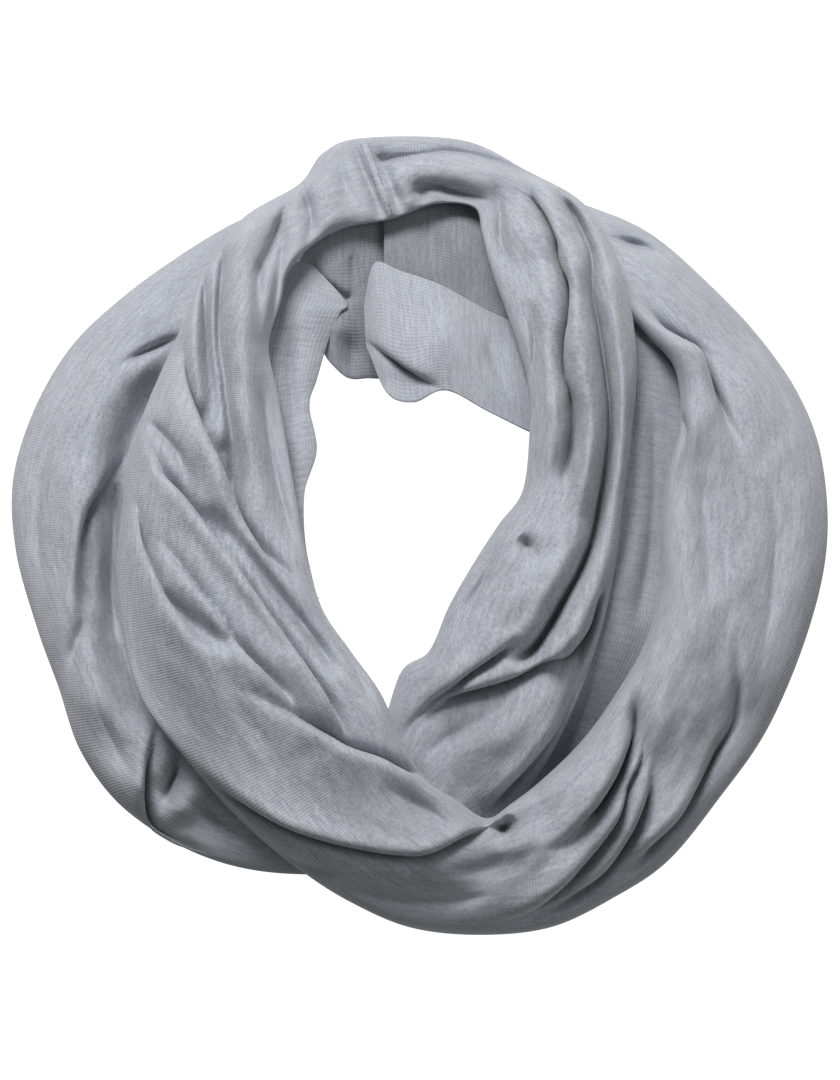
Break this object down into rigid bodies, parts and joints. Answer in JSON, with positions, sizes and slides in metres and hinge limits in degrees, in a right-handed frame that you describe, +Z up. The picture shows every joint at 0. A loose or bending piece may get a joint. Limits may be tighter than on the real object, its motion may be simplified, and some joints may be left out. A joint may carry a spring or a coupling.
{
  "type": "infinity scarf",
  "caption": "Long jersey tube sewn into a loop, wound around the neck in overlapping turns with a raised collar, soft diagonal folds and a crossing at the front.",
  "frame": {"origin": "centre of the neck opening, where the neck passes through the wound loop", "axes": "+Z up along the neck, +Y towards the wearer's back, +X towards the right of the front view"},
  "size_m": [0.4104, 0.3058, 0.3512],
  "materials": {
    "jersey": "light heather grey fine single jersey, soft and matte"
  },
  "bodies": {
    "root": {"collar": "jersey", "front_left": "jersey", "bottom_sweep": "jersey", "right_outer": "jersey", "back_outer": "jersey", "left_outer": "jersey", "under_cross": "jersey", "right_front": "jersey", "right_under": "jersey", "inner_left": "jersey", "inner_back": "jersey", "neck_flap": "jersey", "neck_pocket": "jersey"}
  },
  "joints": []
}
